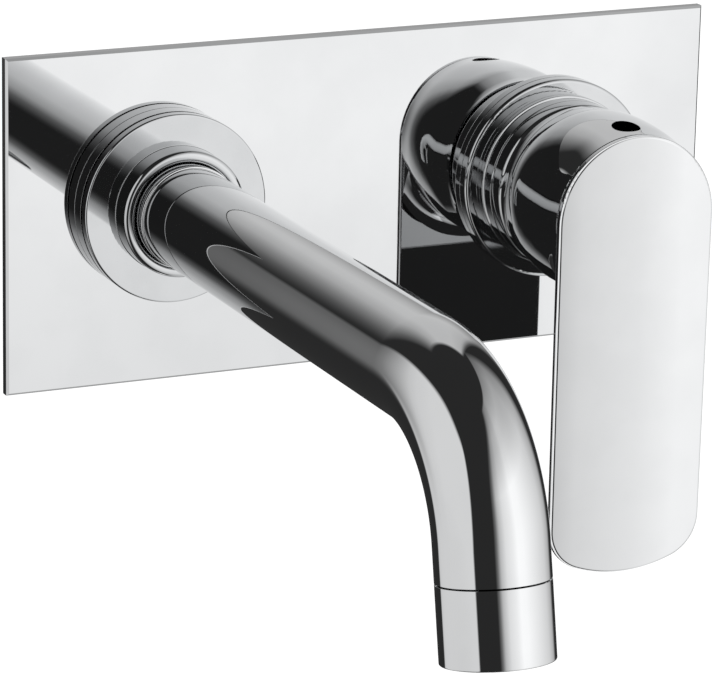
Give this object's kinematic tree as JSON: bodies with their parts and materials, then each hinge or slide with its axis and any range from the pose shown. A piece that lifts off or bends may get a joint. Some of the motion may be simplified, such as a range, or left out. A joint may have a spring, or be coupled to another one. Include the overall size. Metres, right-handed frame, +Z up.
{
  "type": "wall mounted basin faucet",
  "caption": "Concealed single lever wall faucet: rectangular cover plate, long tubular spout with a turned down end, and a flat lever on a barrel hub.",
  "frame": {"origin": "middle of the cover plate's back, on the face of the finished wall", "axes": "+X to the right along the wall as the user faces it, +Y into the wall, +Z up; the spout and the handle stand out towards -Y"},
  "size_m": [0.2, 0.2655, 0.1404],
  "materials": {
    "chrome": "bright polished chromium plate",
    "brass": "cast and machined, unplated",
    "steel": "stainless steel",
    "rubber": "black EPDM",
    "fibre": "red fibre",
    "cartridge_plastic": "moulded acetal",
    "aerator_plastic": "moulded grey plastic",
    "ceramic": "lapped alumina ceramic"
  },
  "bodies": {
    "fixed": {"wall_plate": "chrome", "plate_gasket": "rubber", "valve_body": "brass", "inlet_filters": "steel", "cartridge_housing": "cartridge_plastic", "cartridge_base": "cartridge_plastic", "port_seals": "rubber", "fixed_disc": "ceramic", "cartridge_nut": "brass", "handle_rose": "chrome", "rose_seal": "rubber", "bonnet_cover": "chrome", "spout_connector": "brass", "connector_o_rings": "rubber", "connector_washer": "fibre", "spout_flange": "chrome", "flange_o_ring": "rubber", "flange_grub_screw": "steel", "spout_tube": "chrome", "aerator_housing": "chrome", "aerator_washer": "rubber", "aerator_screen": "steel", "aerator_insert": "aerator_plastic"},
    "swivel": {"swivel_guide": "cartridge_plastic", "lever_pin": "steel"},
    "lever": {"handle": "chrome", "handle_set_screw": "steel", "lever_stem": "brass"},
    "discs": {"disc_carrier": "cartridge_plastic", "moving_disc": "ceramic"}
  },
  "joints": [
    {"name": "temperature", "type": "hinge", "parent": "fixed", "child": "swivel", "pos_m": [0.0556, 0, 0.0008], "axis": [0, 1, 0], "range_deg": [-50, 50]},
    {"name": "lift", "type": "hinge", "parent": "swivel", "child": "lever", "pos_m": [0.0556, -0.001, 0.0008], "axis": [-1, 0, 0], "range_deg": [0, 25]},
    {"name": "disc_slide", "type": "slide", "parent": "swivel", "child": "discs", "axis": [0, 0, -1], "range_m": [0, 0.0044]}
  ],
  "couplings": [
    {"joint": "disc_slide", "follows": "lift", "m_per_rad": 0.01}
  ]
}
